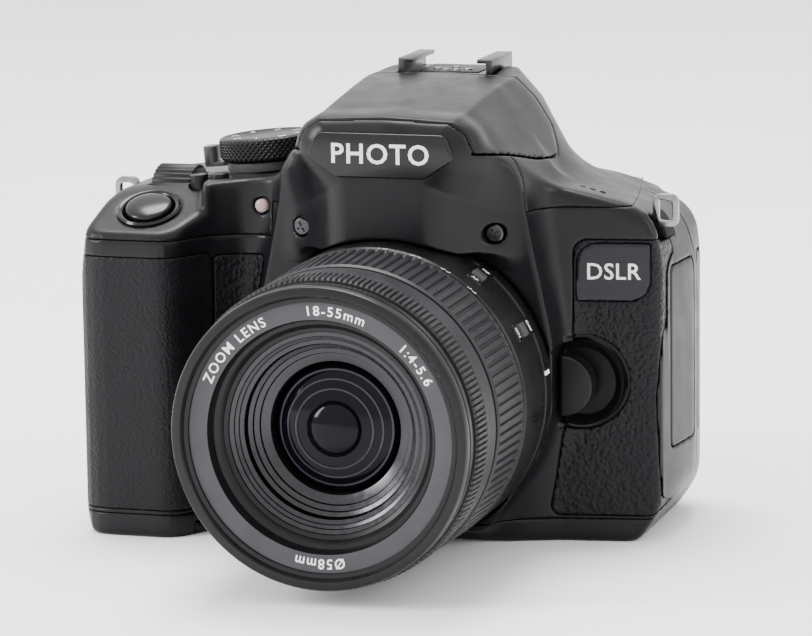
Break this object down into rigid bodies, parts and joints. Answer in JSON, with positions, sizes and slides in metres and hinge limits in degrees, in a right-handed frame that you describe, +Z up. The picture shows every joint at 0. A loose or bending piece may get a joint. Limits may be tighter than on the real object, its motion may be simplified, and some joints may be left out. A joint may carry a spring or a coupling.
{
  "type": "dslr camera",
  "caption": "Interchangeable-lens reflex camera with a deep grip, pop-up flash, hot shoe, swing-out screen, press buttons, turning dials and a zoom lens that extends as its ring turns.",
  "frame": {"origin": "middle of the whole camera's box in X and Y, on the base plane the camera stands on", "axes": "+X towards the side away from the grip, +Y towards the rear screen, so the lens points to -Y, and +Z up"},
  "size_m": [0.1308, 0.1278, 0.1026],
  "materials": {
    "body_plastic": "fine-grained satin",
    "grip_rubber": "matt, textured",
    "panel_leather": "pebbled imitation leather",
    "gloss_plastic": "polished",
    "bright_metal": "brushed",
    "coated_glass": "coated, polished",
    "mirror_glass": "front-silvered",
    "matt_black": "matt",
    "circuit_board": "lacquered",
    "clear_plastic": "clear, ribbed",
    "lamp_lens": "translucent"
  },
  "bodies": {
    "body": {"front_cover": "body_plastic", "rear_cover": "body_plastic", "bottom_cover": "body_plastic", "top_cover": "body_plastic", "grip_rubber": "grip_rubber", "thumb_rubber": "grip_rubber", "eyecup": "grip_rubber", "panel_leather": "panel_leather", "badge_plate": "gloss_plastic", "name_plate": "gloss_plastic", "lens_mount_ring": "bright_metal", "hot_shoe": "bright_metal", "strap_lug_left": "bright_metal", "strap_lug_right": "bright_metal", "tripod_socket": "bright_metal", "shutter_unit": "bright_metal", "pentamirror": "coated_glass", "image_sensor": "coated_glass", "focusing_screen": "coated_glass", "mirror_box": "matt_black", "battery_pack": "matt_black", "main_board": "circuit_board", "eyepiece_lens": "clear_plastic", "self_timer_lamp": "lamp_lens"},
    "mode_dial": {"mode_dial": "body_plastic"},
    "power_lever": {"power_lever": "body_plastic"},
    "main_dial": {"main_dial": "body_plastic"},
    "shutter_button": {"shutter_button": "gloss_plastic"},
    "iso_button": {"iso_button": "body_plastic"},
    "display_button": {"display_button": "body_plastic"},
    "lens_release_button": {"lens_release_button": "body_plastic"},
    "menu_button": {"menu_button": "body_plastic"},
    "info_button": {"info_button": "body_plastic"},
    "live_view_button": {"live_view_button": "body_plastic"},
    "af_on_button": {"af_on_button": "body_plastic"},
    "ae_lock_button": {"ae_lock_button": "body_plastic"},
    "quick_button": {"quick_button": "body_plastic"},
    "playback_button": {"playback_button": "body_plastic"},
    "erase_button": {"erase_button": "body_plastic"},
    "set_button": {"set_button": "body_plastic"},
    "control_wheel": {"control_wheel": "body_plastic"},
    "diopter_knob": {"diopter_knob": "body_plastic"},
    "flash": {"flash_head": "body_plastic", "flash_window": "clear_plastic"},
    "screen": {"screen_hinge": "body_plastic", "screen_frame": "body_plastic", "lcd_panel": "coated_glass"},
    "battery_door": {"battery_door": "body_plastic"},
    "terminal_cover_front": {"terminal_cover_front": "grip_rubber"},
    "terminal_cover_rear": {"terminal_cover_rear": "grip_rubber"},
    "mirror": {"mirror": "mirror_glass"},
    "lens": {"lens_barrel": "body_plastic", "rear_lens_group": "coated_glass"},
    "zoom_ring": {"zoom_ring": "grip_rubber"},
    "lens_front": {"front_barrel": "body_plastic", "front_lens": "coated_glass", "aperture_unit": "matt_black"},
    "focus_ring": {"focus_ring": "grip_rubber"},
    "af_switch": {"af_switch": "bright_metal"},
    "stabiliser_switch": {"stabiliser_switch": "bright_metal"}
  },
  "joints": [
    {"name": "mode_dial_turn", "type": "hinge", "parent": "body", "child": "mode_dial", "pos_m": [-0.0302, 0.0221, 0.0806], "axis": [-0.0872, 0, 0.9962], "continuous": true},
    {"name": "power_lever_turn", "type": "hinge", "parent": "body", "child": "power_lever", "pos_m": [-0.0302, 0.0221, 0.0806], "axis": [0.0872, 0, -0.9962], "range_deg": [0, 55]},
    {"name": "main_dial_turn", "type": "hinge", "parent": "body", "child": "main_dial", "pos_m": [-0.0494, 0.0159, 0.071], "axis": [1, 0, 0], "continuous": true},
    {"name": "shutter_press", "type": "slide", "parent": "body", "child": "shutter_button", "axis": [0, 0.4115, -0.9114], "range_m": [0, 0.0012], "stiffness_N_per_m": 500, "springref_m": -0.0004},
    {"name": "iso_press", "type": "slide", "parent": "body", "child": "iso_button", "axis": [0.0872, 0, -0.9962], "range_m": [0, 0.0006], "stiffness_N_per_m": 500, "springref_m": -0.0004},
    {"name": "display_press", "type": "slide", "parent": "body", "child": "display_button", "axis": [0.0872, 0, -0.9962], "range_m": [0, 0.0006], "stiffness_N_per_m": 500, "springref_m": -0.0004},
    {"name": "lens_release_press", "type": "slide", "parent": "body", "child": "lens_release_button", "axis": [0, 1, 0], "range_m": [0, 0.0015], "stiffness_N_per_m": 600, "springref_m": -0.0004},
    {"name": "menu_press", "type": "slide", "parent": "body", "child": "menu_button", "axis": [0, -1, 0], "range_m": [0, 0.0008], "stiffness_N_per_m": 500, "springref_m": -0.0004},
    {"name": "info_press", "type": "slide", "parent": "body", "child": "info_button", "axis": [0, -1, 0], "range_m": [0, 0.0008], "stiffness_N_per_m": 500, "springref_m": -0.0004},
    {"name": "live_view_press", "type": "slide", "parent": "body", "child": "live_view_button", "axis": [0, -1, 0], "range_m": [0, 0.0008], "stiffness_N_per_m": 500, "springref_m": -0.0004},
    {"name": "af_on_press", "type": "slide", "parent": "body", "child": "af_on_button", "axis": [0, -1, 0], "range_m": [0, 0.0008], "stiffness_N_per_m": 500, "springref_m": -0.0004},
    {"name": "ae_lock_press", "type": "slide", "parent": "body", "child": "ae_lock_button", "axis": [0, -1, 0], "range_m": [0, 0.0008], "stiffness_N_per_m": 500, "springref_m": -0.0004},
    {"name": "quick_press", "type": "slide", "parent": "body", "child": "quick_button", "axis": [0, -1, 0], "range_m": [0, 0.0008], "stiffness_N_per_m": 500, "springref_m": -0.0004},
    {"name": "playback_press", "type": "slide", "parent": "body", "child": "playback_button", "axis": [0, -1, 0], "range_m": [0, 0.0008], "stiffness_N_per_m": 500, "springref_m": -0.0004},
    {"name": "erase_press", "type": "slide", "parent": "body", "child": "erase_button", "axis": [0, -1, 0], "range_m": [0, 0.0008], "stiffness_N_per_m": 500, "springref_m": -0.0004},
    {"name": "set_press", "type": "slide", "parent": "body", "child": "set_button", "axis": [0, -1, 0], "range_m": [0, 0.0008], "stiffness_N_per_m": 500, "springref_m": -0.0004},
    {"name": "control_wheel_turn", "type": "hinge", "parent": "body", "child": "control_wheel", "pos_m": [-0.0359, 0.0529, 0.034], "axis": [0, 1, 0], "continuous": true},
    {"name": "diopter_turn", "type": "hinge", "parent": "body", "child": "diopter_knob", "pos_m": [0.0287, 0.0529, 0.0776], "axis": [0, 1, 0], "range_deg": [-150, 150]},
    {"name": "flash_raise", "type": "hinge", "parent": "body", "child": "flash", "pos_m": [0.0081, 0.0284, 0.0976], "axis": [-1, 0, 0], "range_deg": [0, 65]},
    {"name": "screen_swing", "type": "hinge", "parent": "body", "child": "screen", "pos_m": [0.0581, 0.0529, 0.039], "axis": [0, 0, -1], "range_deg": [0, 175]},
    {"name": "battery_door_swing", "type": "hinge", "parent": "body", "child": "battery_door", "pos_m": [-0.0344, 0.0109, 0.0003], "axis": [0, -1, 0], "range_deg": [0, 100]},
    {"name": "front_terminal_cover_swing", "type": "hinge", "parent": "body", "child": "terminal_cover_front", "pos_m": [0.0636, 0.0169, 0.04], "axis": [0, 0, -1], "range_deg": [0, 110]},
    {"name": "rear_terminal_cover_swing", "type": "hinge", "parent": "body", "child": "terminal_cover_rear", "pos_m": [0.0645, 0.0384, 0.04], "axis": [0, 0, -1], "range_deg": [0, 110]},
    {"name": "mirror_flip", "type": "hinge", "parent": "body", "child": "mirror", "pos_m": [0.0081, 0.0295, 0.057], "axis": [-1, 0, 0], "range_deg": [0, 43], "stiffness_Nm_per_rad": 0.002, "springref_deg": -22.92},
    {"name": "lens_bayonet_turn", "type": "hinge", "parent": "body", "child": "lens", "pos_m": [0.0081, -0.0021, 0.0355], "axis": [0, 1, 0], "range_deg": [0, 60]},
    {"name": "zoom_turn", "type": "hinge", "parent": "lens", "child": "zoom_ring", "pos_m": [0.0081, -0.0341, 0.0355], "axis": [0, 1, 0], "range_deg": [0, 75]},
    {"name": "lens_extend", "type": "slide", "parent": "lens", "child": "lens_front", "axis": [0, -1, 0], "range_m": [0, 0.0201]},
    {"name": "focus_turn", "type": "hinge", "parent": "lens_front", "child": "focus_ring", "pos_m": [0.0081, -0.0511, 0.0355], "axis": [0, 1, 0], "continuous": true},
    {"name": "af_switch_slide", "type": "slide", "parent": "lens", "child": "af_switch", "axis": [0, 1, 0], "range_m": [0, 0.003]},
    {"name": "stabiliser_switch_slide", "type": "slide", "parent": "lens", "child": "stabiliser_switch", "axis": [0, 1, 0], "range_m": [0, 0.003]}
  ],
  "couplings": [
    {"joint": "lens_extend", "follows": "zoom_turn", "m_per_rad": 0.01528}
  ]
}
